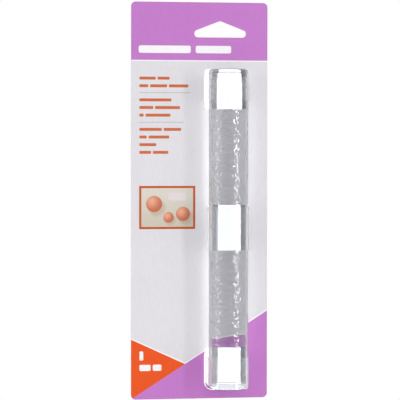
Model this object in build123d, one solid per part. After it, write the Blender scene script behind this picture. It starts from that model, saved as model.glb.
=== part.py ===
from build123d import *
import os
from math import acos, atan2, cos, hypot, sin

# Acrylic clay roller in a film sleeve, held on a two-sheet hang card.
# Millimetres, +Z up, printed front towards -Y. The origin is the apex of the hang hole,
# on the glue line between the two sheets, where a peg bears.

# Hang card
card_width = 89.0
card_corner_radius = 3.0
front_sheet_thickness = 0.4
back_sheet_thickness = 0.5

# Hang hole: the hull of a small circle above two larger ones
hang_hole_apex_from_right_edge = 31.1
hang_hole_apex_below_top = 12.0
hang_hole_width = 33.8
hang_hole_height = 10.5
hang_hole_apex_radius = 1.2
hang_hole_end_radius = 2.4

# Roller, a solid rod
roller_diameter = 25.0
roller_length = 203.2
roller_end_round = 2.2
roller_axis_from_right_edge = 28.0
roller_top_below_card_top = 43.15
roller_end_above_card_bottom = 8.65

# Film sleeve round the roller
sleeve_thickness = 0.1
sleeve_running_gap = 0.08
sleeve_end_margin = 2.4
sleeve_to_card_gap = 0.3

# Clear straps, clip and cup, all of one sheet thickness
strap_thickness = 0.25
strap_to_sleeve_gap = 0.15
clip_to_sleeve_gap = 0.5
strap_bend_radius = 0.15
strap_to_window_end_gap = 5.5
strap_tail_length = 7.0
tail_pocket_gap = 0.3
cup_end_to_roller_gap = 0.75
cup_front_corner_radius = 3.5
cup_lower_tail_length = 2.8

# Windows cut through both sheets behind the roller
window_side_gap = 0.25
top_window_height = 25.95
top_window_above_roller = 0.4
top_window_corner_radius = 2.0
bottom_window_height = 28.0
bottom_window_below_roller = 3.25
bottom_window_corner_radius = 5.5
middle_window_width = 22.0
middle_window_height = 29.25
middle_window_corner_radius = 0.8
clip_side_gap = 0.5

# Overrun of a cut past the faces that it goes through
cut_overrun = 2.0

# Places worked out from the sizes above
card_height = (
    roller_top_below_card_top + roller_length + roller_end_above_card_bottom
)
card_centre_x = hang_hole_apex_from_right_edge - card_width / 2
card_top_z = hang_hole_apex_below_top
card_centre_z = card_top_z - card_height / 2

roller_radius = roller_diameter / 2
sleeve_inner_radius = roller_radius + sleeve_running_gap
sleeve_outer_radius = sleeve_inner_radius + sleeve_thickness
axis_x = hang_hole_apex_from_right_edge - roller_axis_from_right_edge
axis_y = -(front_sheet_thickness + sleeve_to_card_gap + sleeve_outer_radius)
roller_top_z = card_top_z - roller_top_below_card_top
roller_bottom_z = roller_top_z - roller_length
roller_centre_z = (roller_top_z + roller_bottom_z) / 2

strap_inner_radius = sleeve_outer_radius + strap_to_sleeve_gap
strap_outer_radius = strap_inner_radius + strap_thickness
strap_mid_radius = (strap_inner_radius + strap_outer_radius) / 2
clip_mid_radius = sleeve_outer_radius + clip_to_sleeve_gap + strap_thickness / 2
clip_foot_half_width = middle_window_width / 2 - clip_side_gap - strap_thickness / 2

end_window_width = 2 * (strap_outer_radius + window_side_gap)
top_window_z = roller_top_z + top_window_above_roller - top_window_height / 2
bottom_window_low_z = roller_bottom_z - bottom_window_below_roller
bottom_window_z = bottom_window_low_z + bottom_window_height / 2
strap_height = top_window_height - 2 * strap_to_window_end_gap
clip_height = middle_window_height - 2 * middle_window_corner_radius

cup_top_z = bottom_window_low_z + bottom_window_height - bottom_window_corner_radius
cup_bottom_z = bottom_window_low_z + window_side_gap
cup_front_end_z = roller_bottom_z - cup_end_to_roller_gap - strap_thickness
cup_rear_corner_radius = bottom_window_corner_radius - window_side_gap
cup_tail_bottom_z = cup_bottom_z - cup_lower_tail_length


def window_cutter(width, height, corner_radius, centre_z):
    """A round-cornered window through both sheets, centred on the roller's axis."""
    depth = front_sheet_thickness + back_sheet_thickness + 2 * cut_overrun
    outline = RectangleRounded(width, height, corner_radius)
    place = Plane(
        origin=(axis_x, -front_sheet_thickness - cut_overrun, centre_z),
        x_dir=(-1, 0, 0),
        z_dir=(0, 1, 0),
    )
    return extrude(place * outline, amount=depth)


def hang_hole_cutter():
    """The hang hole: a hull of three circles, its apex at the origin."""
    depth = front_sheet_thickness + back_sheet_thickness + 2 * cut_overrun
    end_x = hang_hole_width / 2 - hang_hole_end_radius
    end_z = hang_hole_end_radius - hang_hole_height
    apex = Pos(0, -hang_hole_apex_radius) * Circle(hang_hole_apex_radius)
    left = Pos(-end_x, end_z) * Circle(hang_hole_end_radius)
    right = Pos(end_x, end_z) * Circle(hang_hole_end_radius)
    outline = make_hull([*apex.edges(), *left.edges(), *right.edges()])
    place = Plane(
        origin=(0, -front_sheet_thickness - cut_overrun, 0),
        x_dir=(-1, 0, 0),
        z_dir=(0, 1, 0),
    )
    return extrude(place * outline, amount=depth)


def card_sheet(front_y, thickness):
    """One sheet of the card with its hang hole and its three windows."""
    outline = RectangleRounded(card_width, card_height, card_corner_radius)
    place = Plane(
        origin=(card_centre_x, front_y, card_centre_z), x_dir=(-1, 0, 0), z_dir=(0, 1, 0)
    )
    sheet = extrude(place * outline, amount=thickness)
    sheet -= hang_hole_cutter()
    sheet -= window_cutter(
        end_window_width, top_window_height, top_window_corner_radius, top_window_z
    )
    sheet -= window_cutter(
        end_window_width,
        bottom_window_height,
        bottom_window_corner_radius,
        bottom_window_z,
    )
    sheet -= window_cutter(
        middle_window_width,
        middle_window_height,
        middle_window_corner_radius,
        roller_centre_z,
    )
    return sheet


def tail_pocket(half_width, low_z, high_z):
    """A shallow pocket in the back sheet's inner face, as deep as a tail is thick."""
    width = 2 * (half_width + tail_pocket_gap)
    height = high_z - low_z + 2 * tail_pocket_gap
    depth = strap_thickness + cut_overrun
    centre = Pos(axis_x, strap_thickness - depth / 2, (low_z + high_z) / 2)
    return centre * Box(width, depth, height)


def front_card():
    """The printed sheet, in front of the glue line."""
    return card_sheet(-front_sheet_thickness, front_sheet_thickness)


def back_card():
    """The rear sheet, with pockets that take the tails of the clear pieces."""
    sheet = card_sheet(0, back_sheet_thickness)
    sheet -= tail_pocket(
        strap_outer_radius + strap_tail_length,
        top_window_z - strap_height / 2,
        top_window_z + strap_height / 2,
    )
    sheet -= tail_pocket(
        clip_foot_half_width + strap_tail_length,
        roller_centre_z - clip_height / 2,
        roller_centre_z + clip_height / 2,
    )
    sheet -= tail_pocket(
        strap_outer_radius + strap_tail_length, cup_tail_bottom_z, cup_top_z
    )
    return sheet


def clay_roller():
    """The solid rod with lightly rounded ends."""
    rod = Cylinder(roller_radius, roller_length)
    rod = fillet(rod.edges().filter_by(GeomType.CIRCLE), roller_end_round)
    return Pos(axis_x, axis_y, roller_centre_z) * rod


def film_sleeve():
    """The thin film tube round the rod, a little shorter than the rod."""
    length = roller_length - 2 * sleeve_end_margin
    tube = Cylinder(sleeve_outer_radius, length)
    tube -= Cylinder(sleeve_inner_radius, length + 2 * cut_overrun)
    return Pos(axis_x, axis_y, roller_centre_z) * tube


def strap_section(mid_radius, foot_half_width):
    """The cross-section of a band round the rod's front with its tails turned outwards.

    The band follows a circle, leaves it along tangents to its two feet, and there bends
    into tails that lie between the card's sheets.
    """
    foot_x = foot_half_width
    foot_y = strap_thickness / 2 - axis_y
    foot_distance = hypot(foot_x, foot_y)
    leave_angle = atan2(foot_y, foot_x) - acos(mid_radius / foot_distance)
    leave_x = mid_radius * cos(leave_angle)
    leave_y = mid_radius * sin(leave_angle)
    bend = strap_bend_radius + strap_thickness / 2
    tail_x = foot_x + strap_tail_length
    right = FilletPolyline(
        (leave_x, leave_y), (foot_x, foot_y), (tail_x, foot_y), radius=bend
    )
    left = FilletPolyline(
        (-tail_x, foot_y), (-foot_x, foot_y), (-leave_x, leave_y), radius=bend
    )
    front = ThreePointArc((-leave_x, leave_y), (0, -mid_radius), (leave_x, leave_y))
    return trace([left, front, right], strap_thickness)


def strap(mid_radius, foot_half_width, height, centre_z):
    """A clear band of one height, its tails between the sheets."""
    band = extrude(strap_section(mid_radius, foot_half_width), amount=height)
    return Pos(axis_x, axis_y, centre_z - height / 2) * band


def cup_footprint(radius, low_z, high_z, at_y, corner_radius):
    """The cup's outline seen from the front at one depth; it is open at the top."""
    height = 2 * (high_z - low_z)
    place = Plane(origin=(axis_x, at_y, high_z), x_dir=(-1, 0, 0), z_dir=(0, 1, 0))
    return place * RectangleRounded(2 * radius, height, corner_radius)


def cup_form(radius, end_rise, back_y, high_z):
    """A round-fronted block whose lower end has rounded corners.

    The cup's outside and inside are both this form. The inside has the smaller radius,
    and its end lies higher by end_rise. The end is flat round the roller, and behind the
    roller's axis it widens down to the window, where its corners are larger.
    """
    inset = strap_outer_radius - radius
    low_z = cup_bottom_z + end_rise
    height = high_z - low_z
    front_y = axis_y - radius
    front_block = Pos(axis_x, axis_y, low_z + height / 2) * Cylinder(radius, height)
    rear_block = Pos(axis_x, (axis_y + back_y) / 2, low_z + height / 2) * Box(
        2 * radius, back_y - axis_y, height
    )
    middle_outline = cup_footprint(
        radius,
        cup_front_end_z + end_rise,
        high_z,
        axis_y,
        cup_front_corner_radius - inset,
    )
    rear_outline = cup_footprint(
        radius, low_z, high_z, back_y, cup_rear_corner_radius - inset
    )
    footprint_block = loft([middle_outline, rear_outline])
    footprint_block += extrude(middle_outline, amount=front_y - axis_y)
    return (front_block + rear_block) & footprint_block


def bottom_cup():
    """The formed cup that holds the rod's lower end, with a tail on three sides."""
    back_y = strap_thickness
    outside = cup_form(strap_outer_radius, 0, back_y, cup_top_z)
    inside = cup_form(
        strap_inner_radius,
        strap_thickness,
        back_y + cut_overrun,
        cup_top_z + cut_overrun,
    )
    tail_width = 2 * (strap_outer_radius + strap_tail_length)
    tail_height = cup_top_z - cup_tail_bottom_z
    tail = Pos(
        axis_x, strap_thickness / 2, (cup_top_z + cup_tail_bottom_z) / 2
    ) * Box(tail_width, strap_thickness, tail_height)
    return outside + tail - inside


def main():
    """Write one STEP file for each piece."""
    os.makedirs("parts", exist_ok=True)
    pieces = {
        "front_card": front_card(),
        "back_card": back_card(),
        "clay_roller": clay_roller(),
        "film_sleeve": film_sleeve(),
        "top_strap": strap(
            strap_mid_radius, strap_mid_radius, strap_height, top_window_z
        ),
        "middle_clip": strap(
            clip_mid_radius, clip_foot_half_width, clip_height, roller_centre_z
        ),
        "bottom_cup": bottom_cup(),
    }
    for name, piece in pieces.items():
        export_step(piece, f"parts/{name}.step")
    print(f"roller axis x {axis_x:.3f} y {axis_y:.3f}")
    print(f"roller z {roller_bottom_z:.3f} to {roller_top_z:.3f}")


main()
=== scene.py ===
"""Dresses an acrylic clay roller in its film sleeve on a hang card.

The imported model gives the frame. The card's two sheets, the strap, the clip and the cup
keep their CAD shapes and get their finishes here. The rod and the film sleeve are finer
surfaces, worked out with numpy, in the places of their CAD nodes.
"""

import logging
from dataclasses import dataclass
from enum import Enum
from math import cos, pi, radians, sin

import bpy
import numpy as np
from mathutils import Matrix, Vector


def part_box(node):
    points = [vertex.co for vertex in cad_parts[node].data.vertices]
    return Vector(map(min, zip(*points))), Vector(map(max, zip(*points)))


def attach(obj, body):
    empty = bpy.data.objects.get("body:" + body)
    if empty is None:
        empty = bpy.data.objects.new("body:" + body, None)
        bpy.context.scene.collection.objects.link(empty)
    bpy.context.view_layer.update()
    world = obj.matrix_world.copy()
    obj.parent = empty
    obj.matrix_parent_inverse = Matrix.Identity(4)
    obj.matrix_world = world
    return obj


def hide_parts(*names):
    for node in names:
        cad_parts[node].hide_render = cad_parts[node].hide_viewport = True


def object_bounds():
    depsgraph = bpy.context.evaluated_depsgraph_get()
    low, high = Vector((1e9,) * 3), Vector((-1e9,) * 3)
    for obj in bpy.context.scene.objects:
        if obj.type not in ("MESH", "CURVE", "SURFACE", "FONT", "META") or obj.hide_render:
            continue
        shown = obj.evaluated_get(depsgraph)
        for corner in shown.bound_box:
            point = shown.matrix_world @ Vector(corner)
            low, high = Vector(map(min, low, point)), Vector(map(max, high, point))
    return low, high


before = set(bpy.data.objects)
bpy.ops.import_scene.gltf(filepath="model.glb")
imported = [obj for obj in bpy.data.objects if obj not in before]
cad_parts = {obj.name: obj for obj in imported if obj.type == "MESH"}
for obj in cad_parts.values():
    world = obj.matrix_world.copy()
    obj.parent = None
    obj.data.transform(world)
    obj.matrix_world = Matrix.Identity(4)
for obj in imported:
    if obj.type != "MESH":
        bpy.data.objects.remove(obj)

cad_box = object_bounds()
log = logging.getLogger("clay_roller_scene")

MM = 0.001
MM_PER_METRE = 1000.0
QUARTER_TURN = 90.0
HALF_TURN = 180.0
PRINT_SOFTNESS_MM = 0.06
PURE_WHITE = (1.0, 1.0, 1.0)

# The sRGB curve has a straight foot up to its knee, and a power above that.
CHANNEL_TOP = 255.0
CURVE_KNEE = 0.04045
CURVE_FOOT = 12.92
CURVE_LIFT = 0.055
CURVE_POWER = 2.4

# A Mix node gives its sockets for numbers and colours the same names.
MIX_COLOUR_INPUTS = (6, 7)
MIX_COLOUR_OUTPUT = 2

Colour = tuple[float, float, float]
Socket = bpy.types.NodeSocket
Value = float | Socket
Paint = Colour | Socket


def linear(red: int, green: int, blue: int) -> Colour:
    """Turns an sRGB colour into the linear one that shaders use.

    Args:
        red: Red, 0 to 255.
        green: Green, 0 to 255.
        blue: Blue, 0 to 255.

    Returns:
        The same colour with linear channels from 0 to 1.
    """
    share = np.array([red, green, blue]) / CHANNEL_TOP
    foot = share / CURVE_FOOT
    power = ((share + CURVE_LIFT) / (1 + CURVE_LIFT)) ** CURVE_POWER
    return tuple(float(v) for v in np.where(share <= CURVE_KNEE, foot, power))


class Op(Enum):
    """The sums on numbers that the shader trees use."""

    ADD = "ADD"
    SUBTRACT = "SUBTRACT"
    MULTIPLY = "MULTIPLY"
    MAXIMUM = "MAXIMUM"
    MINIMUM = "MINIMUM"
    ARCTAN2 = "ARCTAN2"


class VectorOp(Enum):
    """The sums on vectors that the shader trees use."""

    SUBTRACT = "SUBTRACT"
    MULTIPLY = "MULTIPLY"
    MAXIMUM = "MAXIMUM"
    ABSOLUTE = "ABSOLUTE"
    LENGTH = "LENGTH"
    DISTANCE = "DISTANCE"


class Blend(Enum):
    """The ways of mixing two colours."""

    MIX = "MIX"
    ADD = "ADD"
    MULTIPLY = "MULTIPLY"


class Ray(Enum):
    """The kinds of ray that the lighting tells apart."""

    CAMERA = "Is Camera Ray"
    SHADOW = "Is Shadow Ray"
    DIFFUSE = "Is Diffuse Ray"
    GLOSSY = "Is Glossy Ray"
    TRANSMISSION = "Is Transmission Ray"


class Light(Enum):
    """What a lamp is for: soft light on matt surfaces, or its image in glossy ones."""

    SOFT = "soft"
    GLINT = "glint"


class NodeSheet:
    """Places shader nodes in one tree and links them."""

    def __init__(self, tree: bpy.types.NodeTree) -> None:
        """Starts on an empty tree."""
        self.tree = tree
        tree.nodes.clear()

    def place(self, kind: str, **settings: object) -> bpy.types.Node:
        """Adds a node.

        Args:
            kind: The node's Blender type.
            settings: Properties to set on it.

        Returns:
            The new node.
        """
        node = self.tree.nodes.new(kind)
        for name, value in settings.items():
            setattr(node, name, value)
        return node

    def feed(self, socket: Socket, value: object) -> None:
        """Links a socket to another, or sets its plain value.

        Args:
            socket: The input to feed.
            value: A socket to link from, or a plain value.
        """
        if isinstance(value, Socket):
            self.tree.links.new(value, socket)
        else:
            socket.default_value = value

    def sum(self, op: Op, first: Value, second: Value) -> Socket:
        """Does one sum on two numbers.

        Args:
            op: The sum.
            first: A number or a socket.
            second: A number or a socket.

        Returns:
            The result's socket.
        """
        node = self.place("ShaderNodeMath", operation=op.value)
        self.feed(node.inputs[0], first)
        self.feed(node.inputs[1], second)
        return node.outputs[0]

    def vector(self, op: VectorOp, first: Paint, second: Paint | None = None) -> Socket:
        """Does one sum on vectors.

        Args:
            op: The sum.
            first: A vector or a socket.
            second: A vector or a socket, where the sum has two.

        Returns:
            The result's socket, a number for a length or a distance.
        """
        node = self.place("ShaderNodeVectorMath", operation=op.value)
        self.feed(node.inputs[0], first)
        if second is not None:
            self.feed(node.inputs[1], second)
        is_number = op in (VectorOp.LENGTH, VectorOp.DISTANCE)
        return node.outputs["Value" if is_number else "Vector"]

    def axes(self, point: Socket) -> tuple[Socket, ...]:
        """Takes a point apart.

        Args:
            point: The point's socket.

        Returns:
            The sockets of its x, y and z.
        """
        node = self.place("ShaderNodeSeparateXYZ")
        self.feed(node.inputs[0], point)
        return tuple(node.outputs)

    def span(
        self,
        value: Socket,
        start: float,
        end: float,
        low: float = 0.0,
        high: float = 1.0,
        smooth: bool = False,
    ) -> Socket:
        """Maps a value's run from start to end onto low to high, held at both ends.

        Args:
            value: The socket to map.
            start: Where the run starts.
            end: Where it ends.
            low: The result at the start.
            high: The result at the end.
            smooth: Whether the run eases in and out.

        Returns:
            The mapped socket.
        """
        node = self.place("ShaderNodeMapRange", clamp=True)
        if smooth:
            node.interpolation_type = "SMOOTHSTEP"
        names = ("From Min", "From Max", "To Min", "To Max")
        for name, number in zip(names, (start, end, low, high)):
            self.feed(node.inputs[name], number)
        self.feed(node.inputs["Value"], value)
        return node.outputs["Result"]

    def below(self, value: Socket, level: float) -> Socket:
        """A mask of the print that is 1 where the value is under the level."""
        half = PRINT_SOFTNESS_MM / 2
        return self.span(value, level - half, level + half, 1.0, 0.0)

    def tint(
        self, share: Value, first: Paint, second: Paint, blend: Blend = Blend.MIX
    ) -> Socket:
        """Mixes two colours.

        Args:
            share: How much of the second there is.
            first: A colour or a socket.
            second: A colour or a socket.
            blend: The way of mixing.

        Returns:
            The mixed colour's socket.
        """
        node = self.place("ShaderNodeMix", data_type="RGBA", blend_type=blend.value)
        self.feed(node.inputs[0], share)
        for number, colour in zip(MIX_COLOUR_INPUTS, (first, second)):
            full = (*colour, 1.0) if isinstance(colour, tuple) else colour
            self.feed(node.inputs[number], full)
        return node.outputs[MIX_COLOUR_OUTPUT]

    def grey(self, value: Socket) -> Socket:
        """Makes a grey colour.

        Args:
            value: The level of its three channels.

        Returns:
            The colour's socket.
        """
        node = self.place("ShaderNodeCombineColor")
        for channel in node.inputs:
            self.feed(channel, value)
        return node.outputs["Color"]

    def noise(
        self, place: Socket, scale: Value, detail: float, roughness: float = 0.5
    ) -> Socket:
        """Makes soft noise in space.

        Args:
            place: The point.
            scale: How many waves it has to a metre.
            detail: How many finer layers lie on top.
            roughness: How strong the finer layers are.

        Returns:
            The noise's socket, from 0 to 1.
        """
        node = self.place("ShaderNodeTexNoise")
        self.feed(node.inputs["Vector"], place)
        self.feed(node.inputs["Scale"], scale)
        self.feed(node.inputs["Detail"], detail)
        self.feed(node.inputs["Roughness"], roughness)
        return node.outputs[0]

    def bump(self, height: Socket, distance: float, strength: float = 1.0) -> Socket:
        """Turns a height into a normal.

        Args:
            height: The height's socket.
            distance: What a height of 1 stands for, in metres.
            strength: How much of the relief shows.

        Returns:
            The normal's socket.
        """
        node = self.place("ShaderNodeBump")
        self.feed(node.inputs["Height"], height)
        self.feed(node.inputs["Distance"], distance)
        self.feed(node.inputs["Strength"], strength)
        return node.outputs["Normal"]

    def either(self, *rays: Ray) -> Socket:
        """Tells kinds of ray from all others.

        Args:
            rays: The kinds of ray.

        Returns:
            A mask that is 1 for any of them.
        """
        path = self.place("ShaderNodeLightPath")
        mask = path.outputs[rays[0].value]
        for ray in rays[1:]:
            mask = self.sum(Op.MAXIMUM, mask, path.outputs[ray.value])
        return mask

    def use(self, group: bpy.types.NodeTree, **inputs: object) -> bpy.types.Node:
        """Places a shared group.

        Args:
            group: The group.
            inputs: Its inputs, with underscores for the spaces in their names.

        Returns:
            The group's node.
        """
        node = self.place("ShaderNodeGroup", node_tree=group)
        for name, value in inputs.items():
            self.feed(node.inputs[name.replace("_", " ")], value)
        return node


@dataclass
class SharedGroups:
    """The shader node groups that several materials place with their own values."""

    fibre_turn: float = 0.35
    fibre_stretch: float = 0.3
    fibre_detail: float = 3.0
    fibre_roughness: float = 0.65
    fibre_share: float = 0.7
    cloud_detail: float = 1.0
    crease_stretch: tuple[float, float, float] = (0.8, 0.8, 1.0)
    crease_detail: float = 0.0
    pebble_detail: float = 1.0

    def __post_init__(self) -> None:
        """Builds each group once."""
        self.bar = self._bar()
        self.board_grain = self._board_grain()
        self.crinkle = self._crinkle()

    @staticmethod
    def _start(
        name: str, inputs: dict[str, str], outputs: dict[str, str]
    ) -> tuple[NodeSheet, bpy.types.Node, bpy.types.Node]:
        """Makes an empty group with its sockets.

        Args:
            name: The group's name.
            inputs: Socket types by name.
            outputs: Socket types by name.

        Returns:
            The sheet and the group's input and output nodes.
        """
        tree = bpy.data.node_groups.new(name, "ShaderNodeTree")
        for way, sockets in (("INPUT", inputs), ("OUTPUT", outputs)):
            for label, kind in sockets.items():
                tree.interface.new_socket(label, in_out=way, socket_type=kind)
        sheet = NodeSheet(tree)
        return sheet, sheet.place("NodeGroupInput"), sheet.place("NodeGroupOutput")

    def _bar(self) -> bpy.types.NodeTree:
        """A printed bar with rounded corners.

        The mask is 1 where the distance from the point to the bar's inner box is less
        than the corner radius. Sizes are in millimetres.

        Returns:
            The group.
        """
        sheet, given, result = self._start(
            "printed bar",
            {
                "Place": "NodeSocketVector",
                "Centre": "NodeSocketVector",
                "Inner Half Size": "NodeSocketVector",
                "Corner": "NodeSocketFloat",
            },
            {"Mask": "NodeSocketFloat"},
        )
        bar = given.outputs
        away = sheet.vector(VectorOp.SUBTRACT, bar["Place"], bar["Centre"])
        folded = sheet.vector(VectorOp.ABSOLUTE, away)
        past = sheet.vector(VectorOp.SUBTRACT, folded, bar["Inner Half Size"])
        outside = sheet.vector(VectorOp.MAXIMUM, past, (0.0, 0.0, 0.0))
        distance = sheet.vector(VectorOp.LENGTH, outside)
        beyond = sheet.sum(Op.SUBTRACT, distance, bar["Corner"])
        sheet.feed(result.inputs["Mask"], sheet.below(beyond, 0.0))
        return sheet.tree

    def _board_grain(self) -> bpy.types.NodeTree:
        """Paper board: short slanting fibres over soft clouds, as a tone and a height.

        Returns:
            The group.
        """
        sheet, given, result = self._start(
            "board grain",
            {
                "Place": "NodeSocketVector",
                "Fibre Scale": "NodeSocketFloat",
                "Cloud Scale": "NodeSocketFloat",
            },
            {"Tone": "NodeSocketFloat", "Height": "NodeSocketFloat"},
        )
        place = given.outputs["Place"]
        turned = sheet.place("ShaderNodeMapping")
        sheet.feed(turned.inputs["Rotation"], (0.0, self.fibre_turn, 0.0))
        sheet.feed(turned.inputs["Scale"], (1.0, 1.0, self.fibre_stretch))
        sheet.feed(turned.inputs["Vector"], place)
        fibres = sheet.noise(
            turned.outputs["Vector"],
            given.outputs["Fibre Scale"],
            self.fibre_detail,
            self.fibre_roughness,
        )
        clouds = sheet.noise(place, given.outputs["Cloud Scale"], self.cloud_detail)
        height = sheet.sum(Op.MULTIPLY, fibres, self.fibre_share)
        soft = sheet.sum(Op.MULTIPLY, clouds, 1 - self.fibre_share)
        sheet.feed(result.inputs["Tone"], sheet.sum(Op.ADD, height, soft))
        sheet.feed(result.inputs["Height"], height)
        return sheet.tree

    def _crinkle(self) -> bpy.types.NodeTree:
        """Crinkled film or sheet: creases over a fine pebble, as a height.

        Returns:
            The group.
        """
        sheet, given, result = self._start(
            "film crinkle",
            {
                "Place": "NodeSocketVector",
                "Crease Scale": "NodeSocketFloat",
                "Pebble Scale": "NodeSocketFloat",
                "Pebble Share": "NodeSocketFloat",
            },
            {"Height": "NodeSocketFloat"},
        )
        film = given.outputs
        stretched = sheet.vector(VectorOp.MULTIPLY, film["Place"], self.crease_stretch)
        creases = sheet.noise(stretched, film["Crease Scale"], self.crease_detail)
        pebble = sheet.noise(film["Place"], film["Pebble Scale"], self.pebble_detail)
        fine = sheet.sum(Op.MULTIPLY, pebble, film["Pebble Share"])
        sheet.feed(result.inputs["Height"], sheet.sum(Op.ADD, creases, fine))
        return sheet.tree


def new_material(name: str) -> tuple[bpy.types.Material, NodeSheet, bpy.types.Node]:
    """Makes an empty node material.

    Args:
        name: The material's name.

    Returns:
        The material, its sheet and its output node.
    """
    material = bpy.data.materials.new(name)
    material.use_nodes = True
    sheet = NodeSheet(material.node_tree)
    return material, sheet, sheet.place("ShaderNodeOutputMaterial")


def dress(piece: bpy.types.Object, material: bpy.types.Material) -> None:
    """Puts one material in all of a piece's slots.

    Args:
        piece: The piece.
        material: The material.
    """
    if not piece.material_slots:
        piece.data.materials.append(material)
    for slot in piece.material_slots:
        slot.material = material


@dataclass(frozen=True)
class PrintInks:
    """The colours of the printed sheet."""

    grey: Colour = linear(226, 224, 229)
    purple: Colour = linear(197, 123, 202)
    orange: Colour = linear(237, 83, 10)
    bar_orange: Colour = linear(207, 106, 60)
    frame_brown: Colour = linear(197, 82, 30)
    rule_grey: Colour = linear(186, 178, 182)
    white: Colour = linear(250, 248, 250)
    board_core: Colour = linear(238, 236, 232)
    picture_ground: Colour = linear(206, 199, 182)
    picture_clay: Colour = linear(236, 168, 138)
    picture_deep: Colour = linear(198, 108, 76)
    picture_pale: Colour = linear(222, 216, 206)
    picture_slab: Colour = linear(228, 218, 220)
    picture_shadow: Colour = linear(188, 160, 136)


@dataclass(frozen=True)
class Bar:
    """A printed bar with rounded corners, in millimetres from the card's centre."""

    left: float
    right: float
    top: float
    bottom: float
    corner: float = 0.5

    def mask(self, sheet: NodeSheet, groups: SharedGroups, place: Socket) -> Socket:
        """The bar's mask.

        Args:
            sheet: The material's sheet.
            groups: The shared groups.
            place: The point on the card, in millimetres from its centre.

        Returns:
            A socket that is 1 on the bar.
        """
        centre = ((self.left + self.right) / 2, 0.0, (self.top + self.bottom) / 2)
        inner = (
            (self.right - self.left) / 2 - self.corner,
            0.0,
            (self.top - self.bottom) / 2 - self.corner,
        )
        node = sheet.use(
            groups.bar, Place=place, Centre=centre, Inner_Half_Size=inner, Corner=self.corner
        )
        return node.outputs["Mask"]


@dataclass(frozen=True)
class PaintedBall:
    """A ball of clay in the little picture, in millimetres from the card's centre.

    It is lit from the upper left, and its soft shadow falls to the lower right. Shares
    are of its radius.
    """

    x: float
    z: float
    radius: float
    lit_shares: tuple[float, float] = (-0.3, 0.35)
    shade_share: float = 1.35
    shadow_shares: tuple[float, float] = (0.35, -0.45)
    shadow_run_shares: tuple[float, float] = (0.7, 1.35)
    shadow_level: float = 0.55

    def _away(
        self, sheet: NodeSheet, place: Socket, shares: tuple[float, float] = (0.0, 0.0)
    ) -> Socket:
        """The distance from a place beside the ball's middle.

        Args:
            sheet: The material's sheet.
            place: The point on the card.
            shares: How far right and up the place is from the middle.

        Returns:
            The distance's socket.
        """
        x, z = self.x + shares[0] * self.radius, self.z + shares[1] * self.radius
        return sheet.vector(VectorOp.DISTANCE, place, (x, 0.0, z))

    def paint(
        self, sheet: NodeSheet, inks: PrintInks, place: Socket, ground: Socket
    ) -> Socket:
        """Paints the ball and its shadow.

        Args:
            sheet: The material's sheet.
            inks: The colours.
            place: The point on the card.
            ground: The colour that is there already.

        Returns:
            The new colour's socket.
        """
        start, end = (share * self.radius for share in self.shadow_run_shares)
        off_shadow = self._away(sheet, place, self.shadow_shares)
        shadow = sheet.span(off_shadow, start, end, self.shadow_level, 0.0, smooth=True)
        shadowed = sheet.tint(shadow, ground, inks.picture_shadow)
        off_light = self._away(sheet, place, self.lit_shares)
        shade = sheet.span(off_light, 0.0, self.shade_share * self.radius, smooth=True)
        clay = sheet.tint(shade, inks.picture_clay, inks.picture_deep)
        return sheet.tint(sheet.below(self._away(sheet, place), self.radius), shadowed, clay)


@dataclass(frozen=True)
class BoardRelief:
    """The fibres of a sheet of board. Scales are in waves to a metre."""

    fibre_scale: float
    cloud_scale: float
    bump_strength: float
    bump_distance: float
    tone_run: tuple[float, float] = (0.3, 0.7)

    def lay(self, sheet: NodeSheet, groups: SharedGroups, shader: bpy.types.Node) -> Socket:
        """Gives a shader the board's relief.

        Args:
            sheet: The material's sheet.
            groups: The shared groups.
            shader: The shader.

        Returns:
            The fibres' tone.
        """
        where = sheet.place("ShaderNodeTexCoord")
        grain = sheet.use(
            groups.board_grain,
            Place=where.outputs["Object"],
            Fibre_Scale=self.fibre_scale,
            Cloud_Scale=self.cloud_scale,
        )
        normal = sheet.bump(grain.outputs["Height"], self.bump_distance, self.bump_strength)
        sheet.feed(shader.inputs["Normal"], normal)
        return grain.outputs["Tone"]


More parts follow.
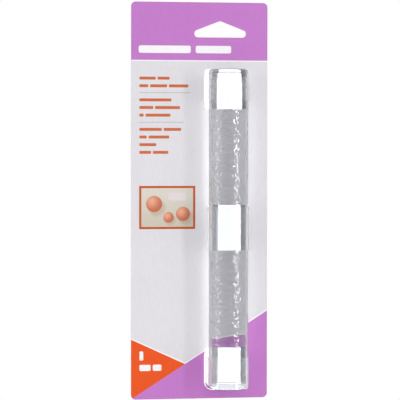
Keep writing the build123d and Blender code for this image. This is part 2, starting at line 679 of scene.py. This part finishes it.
@dataclass
class PrintedSheet:
    """The front sheet: its print and its cut edges.

    Places in the print are in millimetres from the card's centre, and sizes are too.
    Slopes are rise over run. A block of rows has the height of its top, and for each
    row the lengths of its bars.
    """

    groups: SharedGroups
    inks: PrintInks = PrintInks()
    relief: BoardRelief = BoardRelief(
        fibre_scale=900.0, cloud_scale=35.0, bump_strength=0.12, bump_distance=0.04 * MM
    )
    tone_levels: tuple[float, float] = (0.965, 1.035)
    roughness_levels: tuple[float, float] = (0.34, 0.44)
    specular_level: float = 0.35
    cut_edge_run: tuple[float, float] = (-0.8, -0.6)
    header_bottom: float = 90.3
    keyline: float = 0.75
    tip: tuple[float, float] = (-9.35, -105.1)
    diagonal_slope: float = 0.63
    triangle_slope: float = -0.461
    header_bars: tuple[Bar, ...] = (
        Bar(-39.6, -5.8, 99.6, 94.8, 1.2),
        Bar(-2.6, 20.6, 99.6, 94.8, 1.2),
    )
    row_left: float = -39.2
    row_height: float = 1.9
    row_pitch: float = 4.9
    row_gap: float = 1.2
    row_blocks: tuple[tuple[float, tuple[tuple[float, ...], ...]], ...] = (
        (79.6, ((10.6, 7.8), (5.8, 11.0, 12.6))),
        (65.7, ((20.8,), (9.0, 16.2), (2.8, 16.2))),
        (46.8, ((14.6, 11.4), (4.8, 13.4), (11.0,), (7.6, 10.0))),
    )
    rules: tuple[Bar, ...] = (
        Bar(-39.4, -6.0, 69.6, 69.2, 0.1),
        Bar(-39.4, -10.4, 50.6, 50.2, 0.1),
    )
    corner_bars: tuple[Bar, ...] = (
        Bar(-39.0, -36.6, -96.6, -102.4, 0.6),
        Bar(-39.0, -31.8, -105.2, -109.2, 0.9),
        Bar(-30.4, -24.8, -105.2, -109.2, 0.9),
    )
    frame_outer: Bar = Bar(-39.3, -2.8, 9.6, -18.1, 0.1)
    frame_inner: Bar = Bar(-37.9, -4.2, 8.2, -16.7, 0.05)
    picture_slab: Bar = Bar(-20.5, -8.0, 5.2, 0.2, 1.8)
    picture_balls: tuple[PaintedBall, ...] = (
        PaintedBall(-29.6, -2.0, 5.2),
        PaintedBall(-20.2, -10.6, 3.4),
        PaintedBall(-10.8, -8.4, 4.6),
    )

    def _row_bars(self) -> tuple[Bar, ...]:
        """The orange bars, row by row from each block's top down.

        Returns:
            The bars.
        """
        bars = []
        for block_top, rows in self.row_blocks:
            for number, lengths in enumerate(rows):
                left, top = self.row_left, block_top - number * self.row_pitch
                for length in lengths:
                    bars.append(Bar(left, left + length, top, top - self.row_height))
                    left += length + self.row_gap
        return tuple(bars)

    def _any(self, sheet: NodeSheet, bars: tuple[Bar, ...], place: Socket) -> Socket:
        """The mask of several bars.

        Args:
            sheet: The material's sheet.
            bars: The bars, which don't overlap.
            place: The point on the card.

        Returns:
            A socket that is 1 on any of them.
        """
        mask = bars[0].mask(sheet, self.groups, place)
        for bar in bars[1:]:
            mask = sheet.sum(Op.ADD, mask, bar.mask(sheet, self.groups, place))
        return mask

    def _picture(self, sheet: NodeSheet, place: Socket) -> Socket:
        """The little picture: a pale slab and three balls of clay on a warm ground.

        Args:
            sheet: The material's sheet.
            place: The point on the card.

        Returns:
            The picture's colour.
        """
        inks = self.inks
        _, _, z = sheet.axes(place)
        fall = sheet.span(z, self.frame_inner.bottom, self.frame_inner.top)
        colour = sheet.tint(fall, inks.picture_ground, inks.picture_pale)
        slab = self.picture_slab.mask(sheet, self.groups, place)
        colour = sheet.tint(slab, colour, inks.picture_slab)
        for ball in self.picture_balls:
            colour = ball.paint(sheet, inks, place, colour)
        return colour

    def _fields(self, sheet: NodeSheet, place: Socket) -> Socket:
        """The plain fields, and the white line along their borders.

        The diagonal is the line through the triangle's tip at one slope, and the
        triangle's upper side is the line through the tip at the other. The distance over
        a line is the height over it, divided by the root of 1 plus the slope squared.

        Args:
            sheet: The material's sheet.
            place: The point on the card.

        Returns:
            The fields' colour.
        """
        inks = self.inks
        x, _, z = sheet.axes(place)
        over = []
        for slope in (self.diagonal_slope, self.triangle_slope):
            rise = sheet.sum(Op.MULTIPLY, x, slope)
            line = sheet.sum(Op.ADD, rise, self.tip[1] - slope * self.tip[0])
            gap = sheet.sum(Op.SUBTRACT, z, line)
            over.append(sheet.sum(Op.MULTIPLY, gap, (1 + slope**2) ** -0.5))
        over_diagonal, over_triangle = over
        nearest = sheet.sum(Op.MINIMUM, over_diagonal, over_triangle)
        to_header = sheet.sum(Op.SUBTRACT, self.header_bottom, z)
        to_border = sheet.sum(Op.MINIMUM, nearest, to_header)
        colour = sheet.tint(sheet.below(to_border, self.keyline), inks.grey, inks.white)
        for to_field, ink in (
            (over_triangle, inks.orange),
            (over_diagonal, inks.purple),
            (to_header, inks.purple),
        ):
            colour = sheet.tint(sheet.below(to_field, 0.0), colour, ink)
        return colour

    def _colour(self, sheet: NodeSheet) -> Socket:
        """The whole print, laid on its fields, and bare board on the cut edges.

        The card gives the whole object its width and height, and so shares its centre.

        Args:
            sheet: The material's sheet.

        Returns:
            The sheet's colour.
        """
        inks = self.inks
        where = sheet.place("ShaderNodeTexCoord")
        scaled = sheet.vector(
            VectorOp.MULTIPLY, where.outputs["Object"], (MM_PER_METRE, 0.0, MM_PER_METRE)
        )
        x, _, z = ((low + high) / 2 * MM_PER_METRE for low, high in zip(*cad_box))
        place = sheet.vector(VectorOp.SUBTRACT, scaled, (x, 0.0, z))
        colour = self._fields(sheet, place)
        for bars, ink in (
            (self.header_bars, inks.white),
            (self._row_bars(), inks.bar_orange),
            (self.rules, inks.rule_grey),
            (self.corner_bars, inks.white),
            ((self.frame_outer,), inks.frame_brown),
            ((self.frame_inner,), self._picture(sheet, place)),
        ):
            colour = sheet.tint(self._any(sheet, bars, place), colour, ink)
        _, facing, _ = sheet.axes(where.outputs["Normal"])
        return sheet.tint(sheet.span(facing, *self.cut_edge_run), colour, inks.board_core)

    def material(self) -> bpy.types.Material:
        """Satin varnish over ink on white board.

        Returns:
            The printed sheet's material.
        """
        material, sheet, output = new_material("printed satin board")
        shader = sheet.place("ShaderNodeBsdfPrincipled")
        tone = self.relief.lay(sheet, self.groups, shader)
        shade = sheet.span(tone, *self.relief.tone_run, *self.tone_levels)
        varied = sheet.tint(1.0, self._colour(sheet), sheet.grey(shade), Blend.MULTIPLY)
        sheet.feed(shader.inputs["Base Color"], varied)
        roughness = sheet.span(tone, *self.relief.tone_run, *self.roughness_levels)
        sheet.feed(shader.inputs["Roughness"], roughness)
        sheet.feed(shader.inputs["Specular IOR Level"], self.specular_level)
        sheet.feed(output.inputs["Surface"], shader.outputs["BSDF"])
        return material


@dataclass(frozen=True)
class PlainBoard:
    """The rear sheet's uncoated board."""

    pale: Colour = linear(241, 239, 235)
    dull: Colour = linear(229, 226, 220)
    roughness_levels: tuple[float, float] = (0.84, 0.72)
    relief: BoardRelief = BoardRelief(
        fibre_scale=650.0, cloud_scale=28.0, bump_strength=0.3, bump_distance=0.08 * MM
    )

    def material(self, groups: SharedGroups) -> bpy.types.Material:
        """White-lined board with visible fibre.

        Args:
            groups: The shared groups.

        Returns:
            The board's material.
        """
        material, sheet, output = new_material("plain white board")
        shader = sheet.place("ShaderNodeBsdfPrincipled")
        tone = self.relief.lay(sheet, groups, shader)
        share = sheet.span(tone, *self.relief.tone_run)
        sheet.feed(shader.inputs["Base Color"], sheet.tint(share, self.dull, self.pale))
        roughness = sheet.span(tone, *self.relief.tone_run, *self.roughness_levels)
        sheet.feed(shader.inputs["Roughness"], roughness)
        sheet.feed(output.inputs["Surface"], shader.outputs["BSDF"])
        return material


@dataclass(frozen=True)
class ClearFinish:
    """A clear plastic, which bends light and lets lamps through.

    For lamp and diffuse rays it is a stand-in: what passes is pass_centre where the
    surface faces the ray and pass_edge where it turns away. A rod gathers light like a
    lens, which is the glow on top of that. The haze makes the plastic milky, and the
    edge haze more so in a band of grazing angles. With freed_after, a ray that has been
    mirrored more often than that passes straight on, because the renderer would soon
    end it and leave the surface black.
    """

    name: str
    tint: Colour
    ior: float
    roughness: float
    pass_centre: float
    pass_edge: float
    facing_range: tuple[float, float] = (0.02, 0.22)
    crease_scale: float = 0.0
    pebble_scale: float = 0.0
    pebble_share: float = 0.0
    bump_distance: float = 0.0
    specular_level: float = 0.5
    glow: float = 0.0
    glow_reach: float = 0.08
    haze: float = 0.0
    edge_haze: float = 0.0
    haze_rise: tuple[float, float] = (0.45, 0.6)
    haze_fall: tuple[float, float] = (0.72, 0.8)
    freed_after: float = 0.0
    freed_over: float = 1.0

    def _crinkled_normal(self, sheet: NodeSheet, groups: SharedGroups) -> Socket:
        """The creases as a normal.

        Args:
            sheet: The material's sheet.
            groups: The shared groups.

        Returns:
            The normal's socket.
        """
        where = sheet.place("ShaderNodeTexCoord")
        crinkle = sheet.use(
            groups.crinkle,
            Place=where.outputs["Object"],
            Crease_Scale=self.crease_scale,
            Pebble_Scale=self.pebble_scale,
            Pebble_Share=self.pebble_share,
        )
        return sheet.bump(crinkle.outputs["Height"], self.bump_distance)

    def _hazed(self, sheet: NodeSheet, facing: Socket) -> Socket:
        """How clear the plastic is: less so in the band of its edge haze.

        Args:
            sheet: The material's sheet.
            facing: 0 where the surface faces the ray, up to 1 at its outline.

        Returns:
            The share of light that enters.
        """
        rising = sheet.span(facing, *self.haze_rise)
        falling = sheet.span(facing, *self.haze_fall, 1.0, 0.0)
        band = sheet.sum(Op.MULTIPLY, rising, falling)
        return sheet.span(band, 0.0, 1.0, 1.0 - self.haze, 1.0 - self.edge_haze)

    def _passed(self, sheet: NodeSheet, facing: Socket) -> Socket:
        """How much lamp and diffuse light passes.

        Args:
            sheet: The material's sheet.
            facing: 0 where the surface faces the ray, up to 1 at its outline.

        Returns:
            The share that passes, over 1 where light gathers.
        """
        passed = sheet.span(
            facing, *self.facing_range, self.pass_centre, self.pass_edge, smooth=True
        )
        if not self.glow:
            return passed
        gathered = sheet.span(facing, 0.0, self.glow_reach, self.glow, 0.0, smooth=True)
        return sheet.sum(Op.ADD, passed, gathered)

    def _straight(self, sheet: NodeSheet) -> Socket:
        """The rays that pass straight on.

        Args:
            sheet: The material's sheet.

        Returns:
            A mask that is 1 for lamp, diffuse and freed rays.
        """
        straight = sheet.either(Ray.SHADOW, Ray.DIFFUSE)
        if not self.freed_after:
            return straight
        depth = sheet.place("ShaderNodeLightPath").outputs["Glossy Depth"]
        freed = sheet.span(depth, self.freed_after, self.freed_after + self.freed_over)
        return sheet.sum(Op.MAXIMUM, straight, freed)

    def material(self, groups: SharedGroups) -> bpy.types.Material:
        """Builds the finish.

        Args:
            groups: The shared groups.

        Returns:
            The clear material.
        """
        material, sheet, output = new_material(self.name)
        shader = sheet.place("ShaderNodeBsdfPrincipled")
        facing = sheet.place("ShaderNodeLayerWeight").outputs["Facing"]
        for socket, value in (
            ("Base Color", (*self.tint, 1.0)),
            ("Roughness", self.roughness),
            ("IOR", self.ior),
            ("Specular IOR Level", self.specular_level),
            ("Transmission Weight", self._hazed(sheet, facing) if self.edge_haze else 1.0),
        ):
            sheet.feed(shader.inputs[socket], value)
        if self.crease_scale:
            sheet.feed(shader.inputs["Normal"], self._crinkled_normal(sheet, groups))
        through = sheet.place("ShaderNodeBsdfTransparent")
        sheet.feed(through.inputs["Color"], sheet.grey(self._passed(sheet, facing)))
        mix = sheet.place("ShaderNodeMixShader")
        sheet.feed(mix.inputs[0], self._straight(sheet))
        sheet.feed(mix.inputs[1], shader.outputs["BSDF"])
        sheet.feed(mix.inputs[2], through.outputs["BSDF"])
        sheet.feed(output.inputs["Surface"], mix.outputs[0])
        return material


POLISHED_ACRYLIC = ClearFinish(
    name="polished clear acrylic",
    # The grey tint is painted shade: it darkens the card seen through the rod, standing in
    # for the rod's own shadow on the card behind it.
    tint=(0.728, 0.733, 0.752),
    ior=1.49,
    roughness=0.0,
    pass_centre=0.98,
    pass_edge=0.84,
    facing_range=(0.05, 0.3),
    specular_level=0.03,
    glow=0.7,
    glow_reach=0.08,
    freed_after=2.9,
)
CRINKLED_CLEAR_FILM = ClearFinish(
    name="clear crinkled film",
    tint=(1.0, 1.0, 1.0),
    ior=1.5,
    roughness=0.03,
    pass_centre=1.0,
    pass_edge=0.95,
    crease_scale=560.0,
    pebble_scale=900.0,
    pebble_share=0.12,
    bump_distance=0.6 * MM,
    edge_haze=0.25,
)
PRESSED_CLEAR_SHEET = ClearFinish(
    name="clear pressed sheet",
    tint=(0.995, 1.0, 1.0),
    ior=1.5,
    roughness=0.02,
    pass_centre=0.97,
    pass_edge=0.82,
    facing_range=(0.1, 0.8),
    crease_scale=120.0,
    pebble_scale=500.0,
    pebble_share=0.1,
    bump_distance=0.03 * MM,
    specular_level=0.06,
    haze=0.05,
    edge_haze=0.3,
)


def ring_mesh(name: str, rings: np.ndarray, wrap: bool) -> bpy.types.Mesh:
    """Makes a mesh from a grid of closed rings.

    Each ring is joined to the next, and the last point of a ring to its first. With
    wrap, the last ring is joined to the first; without, a pole closes each end.

    Args:
        name: The mesh's name.
        rings: Points of shape (rings, points, 3), whose faces point outwards.
        wrap: Whether the rings go round in a loop.

    Returns:
        The smooth mesh.
    """
    rows, around = rings.shape[:2]
    index = np.arange(rows * around).reshape(rows, around)
    low = index if wrap else index[:-1]
    high = np.roll(index, -1, axis=0) if wrap else index[1:]
    quads = np.stack(
        [low, np.roll(low, -1, axis=1), np.roll(high, -1, axis=1), high], axis=-1
    ).reshape(-1, 4)
    points = rings.reshape(-1, 3)
    faces = quads.tolist()
    if not wrap:
        poles = rings[[0, -1]].mean(axis=1)
        start, end = rows * around, rows * around + 1
        first, last = index[0], index[-1]
        foot = np.stack([np.roll(first, -1), first, np.full(around, start)], axis=-1)
        head = np.stack([last, np.roll(last, -1), np.full(around, end)], axis=-1)
        points = np.concatenate([points, poles])
        faces += foot.tolist() + head.tolist()
    mesh = bpy.data.meshes.new(name)
    mesh.from_pydata(points.tolist(), [], faces)
    mesh.polygons.foreach_set("use_smooth", np.ones(len(mesh.polygons), bool))
    mesh.update()
    return mesh


def add_piece(name: str, mesh: bpy.types.Mesh) -> bpy.types.Object:
    """Links a mesh to the scene as an object at the origin.

    Args:
        name: The object's name.
        mesh: Its mesh.

    Returns:
        The object.
    """
    piece = bpy.data.objects.new(name, mesh)
    bpy.context.scene.collection.objects.link(piece)
    return piece


def cosine_step(share: np.ndarray) -> np.ndarray:
    """Eases shares from 0 to 1: half of 1 less the cosine of that share of a half turn."""
    return (1 - np.cos(share * pi)) / 2


@dataclass(frozen=True)
class RodAxis:
    """The line that the rod and its sleeve turn about, and the ends on it, in metres."""

    x: float
    y: float
    bottom: float
    top: float

    @staticmethod
    def of_node(node: str) -> "RodAxis":
        """The middle line of a CAD node's box, and its two ends."""
        low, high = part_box(node)
        return RodAxis(
            (low[0] + high[0]) / 2, (low[1] + high[1]) / 2, float(low[2]), float(high[2])
        )

    def rings(self, radius: np.ndarray, height: np.ndarray, turn: np.ndarray) -> np.ndarray:
        """Rings round the axis: at each angle, a point at its ring's radius and height.

        Args:
            radius: One radius for each ring, or for each ring and angle.
            height: One height for each ring, as a column.
            turn: The angles.

        Returns:
            Points of shape (rings, angles, 3).
        """
        return np.stack(
            [
                self.x + radius * np.cos(turn),
                self.y + radius * np.sin(turn),
                np.repeat(height, len(turn), axis=1),
            ],
            axis=-1,
        )


@dataclass
class ClearRod:
    """The solid rod, turned from a profile with rounded rims."""

    axis: RodAxis
    finish: ClearFinish = POLISHED_ACRYLIC
    radius: float = 12.5 * MM
    rim_round: float = 2.2 * MM
    cap_shares: tuple[float, ...] = (0.02, 0.4, 0.8, 0.96, 0.995)
    around: int = 224
    rim_steps: int = 10
    body_steps: int = 24

    def profile(self) -> np.ndarray:
        """Radius and height from the bottom cap to the top one.

        The caps run out from the middle, the rims are quarter circles, and the side is
        straight.

        Returns:
            Points of shape (steps, 2).
        """
        turn = np.linspace(0, pi / 2, self.rim_steps)
        flat = self.radius - self.rim_round
        cap = flat * np.array(self.cap_shares)
        bottom, top = self.axis.bottom, self.axis.top
        foot_rim = np.stack(
            [
                flat + self.rim_round * np.sin(turn),
                bottom + self.rim_round * (1 - np.cos(turn)),
            ],
            axis=1,
        )
        head_rim = np.stack([foot_rim[:, 0], top + bottom - foot_rim[:, 1]], axis=1)[::-1]
        heights = np.linspace(foot_rim[-1, 1], head_rim[0, 1], self.body_steps)[1:-1]
        body = np.stack([np.full(len(heights), self.radius), heights], axis=1)
        foot = np.stack([cap, np.full(len(cap), bottom)], axis=1)
        head = np.stack([cap[::-1], np.full(len(cap), top)], axis=1)
        return np.concatenate([foot, foot_rim, body, head_rim, head])

    def build(self, groups: SharedGroups) -> bpy.types.Object:
        """Makes, dresses and mounts the rod.

        Args:
            groups: The shared groups.

        Returns:
            The rod.
        """
        profile = self.profile()
        turn = np.linspace(0, 2 * pi, self.around, endpoint=False)
        rings = self.axis.rings(profile[:, :1], profile[:, 1:], turn)
        rod = add_piece("clear_rod", ring_mesh("clear_rod", rings, wrap=False))
        dress(rod, self.finish.material(groups))
        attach(rod, "roller")
        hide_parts("clay_roller")
        return rod


@dataclass
class CrinkledFilm:
    """The film sleeve: a closed thin wall with small dents, longer than they are wide."""

    axis: RodAxis
    finish: ClearFinish = CRINKLED_CLEAR_FILM
    middle_radius: float = 12.63 * MM
    thickness: float = 0.06 * MM
    dent_depth: float = 0.02 * MM
    dent_sizes: tuple[float, ...] = (5.0 * MM, 2.4 * MM)
    dent_shares: tuple[float, ...] = (0.35, 0.65)
    dent_stretch: float = 1.4
    around: int = 132
    along: int = 370
    seed: int = 11

    def _dents(self, height: np.ndarray, turn: np.ndarray) -> np.ndarray:
        """Smooth noise over the tube, from -1 to 1, that meets itself all round.

        For each size, random values on a coarse grid are joined by cosine steps, and
        the sizes are added by their shares.

        Args:
            height: Heights of the rings, in metres.
            turn: Angles round the tube.

        Returns:
            One value for each ring and angle.
        """
        rng = np.random.default_rng(self.seed)
        total = np.zeros((len(height), len(turn)))
        girth = 2 * pi * self.middle_radius
        length = height[-1] - height[0]
        for size, share in zip(self.dent_sizes, self.dent_shares):
            columns = int(round(girth / size))
            rows = int(round(length / (size * self.dent_stretch))) + 1
            grid = rng.uniform(-1, 1, (rows + 1, columns))
            along = (height - height[0]) / length * (rows - 1)
            across = turn / (2 * pi) * columns
            row, column = np.floor(along).astype(int), np.floor(across).astype(int)
            ease_along = cosine_step(along - row)[:, None]
            ease_across = cosine_step(across - column)
            near, far = column % columns, (column + 1) % columns
            around = grid[:, near] * (1 - ease_across) + grid[:, far] * ease_across
            total += share * (around[row] * (1 - ease_along) + around[row + 1] * ease_along)
        return total

    def build(self, groups: SharedGroups) -> bpy.types.Object:
        """Makes, dresses and mounts the film.

        Args:
            groups: The shared groups.

        Returns:
            The film sleeve.
        """
        turn = np.linspace(0, 2 * pi, self.around, endpoint=False)
        height = np.linspace(self.axis.bottom, self.axis.top, self.along)
        middle = self.middle_radius + self.dent_depth * self._dents(height, turn)
        outer, inner = middle + self.thickness / 2, middle - self.thickness / 2
        radius = np.concatenate([outer, inner[::-1]])
        heights = np.concatenate([height, height[::-1]])[:, None]
        rings = self.axis.rings(radius, heights, turn)
        film = add_piece("crinkled_film", ring_mesh("crinkled_film", rings, wrap=True))
        dress(film, self.finish.material(groups))
        film.visible_shadow = False
        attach(film, "sleeve")
        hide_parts("film_sleeve")
        return film


@dataclass
class HangPack:
    """The card with its clear strap, clip and cup, all of them CAD shapes."""

    groups: SharedGroups
    board: PlainBoard = PlainBoard()
    sheet_finish: ClearFinish = PRESSED_CLEAR_SHEET
    clear_nodes: tuple[str, ...] = ("top_strap", "middle_clip", "bottom_cup")

    def build(self) -> None:
        """Dresses the CAD nodes."""
        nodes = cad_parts
        dress(nodes["front_card"], PrintedSheet(self.groups).material())
        dress(nodes["back_card"], self.board.material(self.groups))
        clear = self.sheet_finish.material(self.groups)
        for name in self.clear_nodes:
            dress(nodes[name], clear)


@dataclass(frozen=True)
class Softbox:
    """A rectangular lamp aimed at the card, in degrees, metres and watts.

    The azimuth is measured from the front towards the card's right side.
    """

    name: str
    azimuth: float
    elevation: float
    distance: float
    width: float
    height: float
    watts: float
    light: Light
    aim: tuple[float, float, float] = (0.0, -0.005, -0.12)

    def place(self) -> None:
        """Adds the lamp to the scene."""
        lamp = bpy.data.lights.new(self.name, "AREA")
        lamp.shape = "RECTANGLE"
        lamp.size, lamp.size_y = self.width, self.height
        lamp.energy = self.watts
        holder = bpy.data.objects.new(self.name, lamp)
        turn, rise = radians(self.azimuth), radians(self.elevation)
        away = Vector((sin(turn) * cos(rise), -cos(turn) * cos(rise), sin(rise)))
        holder.location = Vector(self.aim) + away * self.distance
        holder.rotation_euler = away.to_track_quat("Z", "Y").to_euler()
        holder.visible_camera = False
        holder.visible_diffuse = self.light is Light.SOFT
        holder.visible_glossy = self.light is Light.GLINT
        holder.visible_transmission = False
        bpy.context.scene.collection.objects.link(holder)


@dataclass
class Studio:
    """The white surroundings, the lamps, the floor and the camera.

    Azimuths of the surroundings are in degrees from straight behind the card towards
    its right side. The white backdrop fills the part behind, and the walls are grey: a
    wall level is an azimuth and how bright the wall is there. Runs are of the z of a
    direction, from -1 straight down to 1 straight up. Rays that were mirrored but not
    bent see the share over_walls_mirrored of what lies over the walls.
    """

    ambient: float = 0.44
    backdrop_level: float = 1.82
    backdrop_turn: float = 7.0
    backdrop_widening: float = 0.15
    widening_run: tuple[float, float] = (-0.03, 0.024)
    walls_end: tuple[float, float] = (0.05, 0.14)
    over_walls: Colour = (0.69, 0.7, 0.72)
    over_walls_mirrored: float = 0.3
    sky_end: tuple[float, float] = (0.7, 0.85)
    straight_up: Colour = (0.12, 0.12, 0.12)
    low_glow_run: tuple[float, float] = (-0.05, -0.1)
    low_glow: Colour = (0.09, 0.095, 0.1)
    wall_tint: Colour = (0.96, 0.98, 1.06)
    wall_levels: tuple[tuple[float, float], ...] = (
        (-180.0, 0.176),
        (-177.0, 0.0),
        (-162.0, 0.0),
        (-156.0, 0.026),
        (-143.0, 0.07),
        (-128.0, 0.132),
        (-104.0, 0.246),
        (-90.0, 0.33),
        (-60.0, 0.46),
        (-44.0, 0.6),
        (-40.0, 0.03),
        (-16.6, 0.02),
        (-15.4, 1.0),
        (32.4, 1.0),
        (33.6, 0.176),
        (54.0, 0.194),
        (59.0, 0.6),
        (75.0, 0.48),
        (90.0, 0.44),
        (115.0, 0.317),
        (130.0, 0.528),
        (150.0, 0.352),
        (162.0, 0.088),
        (180.0, 0.176),
    )
    floor_radius: float = 0.45
    floor_below_card: float = 0.047
    floor_points: int = 96
    floor_paint: Colour = (0.86, 0.86, 0.86)
    floor_glow: float = 0.25
    mirrored_floor: Colour = (0.55, 0.55, 0.56)
    # A lamp's numbers are its azimuth, elevation, distance, width, height and watts.
    lamps: tuple[Softbox, ...] = (
        Softbox("key_right", 38.0, 8.0, 1.2, 0.12, 0.9, 4.9, Light.SOFT),
        Softbox("glint_right", 37.0, -2.8, 1.2, 0.24, 0.6, 6.0, Light.GLINT),
        Softbox("fill_left", -50.0, 8.0, 1.2, 0.14, 0.9, 2.8, Light.SOFT),
        Softbox("glint_left", -74.0, -2.8, 1.2, 0.26, 0.6, 2.2, Light.GLINT),
        Softbox("front_top", -8.0, 38.0, 1.6, 1.2, 0.8, 4.75, Light.SOFT),
        Softbox("rear_top", 170.0, 35.0, 1.6, 1.2, 0.8, 11.0, Light.SOFT),
    )
    camera_place: tuple[float, float, float] = (-0.2813, -1.4613, -0.0779)
    camera_yaw: float = 10.404
    camera_pitch: float = -1.431
    camera_roll: float = 0.066
    camera_lens: float = 207.83

    def _walls(self, sheet: NodeSheet, x: Socket, y: Socket, z: Socket) -> Socket:
        """The round wall: its levels by azimuth, with the backdrop wider higher up.

        Args:
            sheet: The world's sheet.
            x: The direction's x.
            y: Its y.
            z: Its z.

        Returns:
            The wall's colour.
        """
        turn = sheet.sum(Op.ARCTAN2, x, y)
        degrees = sheet.sum(Op.MULTIPLY, turn, HALF_TURN / pi)
        centred = sheet.sum(Op.SUBTRACT, degrees, self.backdrop_turn)
        squeeze = sheet.span(
            z, *self.widening_run, 1.0, 1.0 - self.backdrop_widening, smooth=True
        )
        wide = sheet.sum(Op.MULTIPLY, centred, squeeze)
        moved = sheet.sum(Op.ADD, wide, self.backdrop_turn)
        ramp = sheet.place("ShaderNodeValToRGB")
        sheet.feed(ramp.inputs["Fac"], sheet.span(moved, -HALF_TURN, HALF_TURN))
        stops = ramp.color_ramp.elements
        while len(stops) > 1:
            stops.remove(stops[-1])
        for number, (angle, level) in enumerate(self.wall_levels):
            position = (angle + HALF_TURN) / (2 * HALF_TURN)
            stop = stops[0] if number == 0 else stops.new(position)
            stop.position = position
            stop.color = (*(level * channel for channel in self.wall_tint), 1.0)
        return ramp.outputs["Color"]

    def light_world(self) -> None:
        """Gives the surroundings one look for sight, one for shine and one for the rest.

        The camera sees white. Rays that were mirrored or bent see the walls, the pale
        part over them and the dark part straight up. All others see one grey.
        """
        world = bpy.data.worlds.new("studio")
        bpy.context.scene.world = world
        world.use_nodes = True
        sheet = NodeSheet(world.node_tree)
        output = sheet.place("ShaderNodeOutputWorld")
        x, y, z = sheet.axes(sheet.place("ShaderNodeTexCoord").outputs["Generated"])
        low = sheet.span(z, *self.low_glow_run)
        walled = sheet.tint(low, self._walls(sheet, x, y, z), self.low_glow, Blend.ADD)
        bent = sheet.either(Ray.TRANSMISSION)
        over_level = sheet.span(bent, 0.0, 1.0, self.over_walls_mirrored, 1.0)
        above = sheet.span(z, *self.walls_end, smooth=True)
        over = sheet.sum(Op.MULTIPLY, above, over_level)
        walled = sheet.tint(over, walled, self.over_walls)
        steep = sheet.span(z, *self.sky_end, smooth=True)
        walled = sheet.tint(steep, walled, self.straight_up)
        lifted = sheet.vector(VectorOp.MULTIPLY, walled, (self.backdrop_level,) * 3)
        shiny = sheet.either(Ray.GLOSSY, Ray.TRANSMISSION)
        seen = sheet.tint(shiny, (self.ambient,) * 3, lifted)
        seen = sheet.tint(sheet.either(Ray.CAMERA), seen, PURE_WHITE)
        back = sheet.place("ShaderNodeBackground")
        sheet.feed(back.inputs["Color"], seen)
        sheet.feed(output.inputs["Surface"], back.outputs[0])

    def lay_floor(self) -> None:
        """A round pale floor, whose own light for the camera keeps it white."""
        turn = np.linspace(0, 2 * pi, self.floor_points, endpoint=False)
        centre_x = (cad_box[0][0] + cad_box[1][0]) / 2
        level = cad_box[0][2] - self.floor_below_card
        points = np.stack(
            [
                centre_x + self.floor_radius * np.cos(turn),
                self.floor_radius * np.sin(turn),
                np.full(len(turn), level),
            ],
            axis=1,
        )
        mesh = bpy.data.meshes.new("floor")
        mesh.from_pydata(points.tolist(), [], [list(range(len(turn)))])
        floor = add_piece("floor", mesh)
        material, sheet, output = new_material("pale floor")
        matt = sheet.place("ShaderNodeBsdfDiffuse")
        shiny = sheet.either(Ray.GLOSSY, Ray.TRANSMISSION)
        paint = sheet.tint(shiny, self.floor_paint, self.mirrored_floor)
        sheet.feed(matt.inputs["Color"], paint)
        glow = sheet.place("ShaderNodeEmission")
        strength = sheet.sum(Op.MULTIPLY, sheet.either(Ray.CAMERA), self.floor_glow)
        sheet.feed(glow.inputs["Strength"], strength)
        both = sheet.place("ShaderNodeAddShader")
        sheet.feed(both.inputs[0], matt.outputs[0])
        sheet.feed(both.inputs[1], glow.outputs[0])
        sheet.feed(output.inputs["Surface"], both.outputs[0])
        dress(floor, material)

    def set_camera(self) -> None:
        """Puts the camera at the photograph's place."""
        camera = bpy.data.cameras.new("camera")
        camera.lens = self.camera_lens
        holder = bpy.data.objects.new("camera", camera)
        holder.matrix_world = (
            Matrix.Translation(self.camera_place)
            @ Matrix.Rotation(radians(-self.camera_yaw), 4, "Z")
            @ Matrix.Rotation(radians(QUARTER_TURN + self.camera_pitch), 4, "X")
            @ Matrix.Rotation(radians(self.camera_roll), 4, "Z")
        )
        bpy.context.scene.collection.objects.link(holder)
        bpy.context.scene.camera = holder

    def build(self) -> None:
        """Sets up everything round the object."""
        bpy.context.scene.view_settings.view_transform = "Standard"
        self.set_camera()
        self.light_world()
        self.lay_floor()
        for lamp in self.lamps:
            lamp.place()


def main() -> None:
    """Builds the studio, the pack, the rod and its film, and reports each."""
    logging.basicConfig(level=logging.INFO, format="%(message)s")
    Studio().build()
    log.info("studio is lit")
    groups = SharedGroups()
    HangPack(groups).build()
    log.info("card, strap, clip and cup are dressed")
    rod = ClearRod(RodAxis.of_node("clay_roller")).build(groups)
    log.info("%s has %d faces", rod.name, len(rod.data.polygons))
    film = CrinkledFilm(RodAxis.of_node("film_sleeve")).build(groups)
    log.info("%s has %d faces", film.name, len(film.data.polygons))
    bpy.context.view_layer.update()


if __name__ == "__main__":
    main()
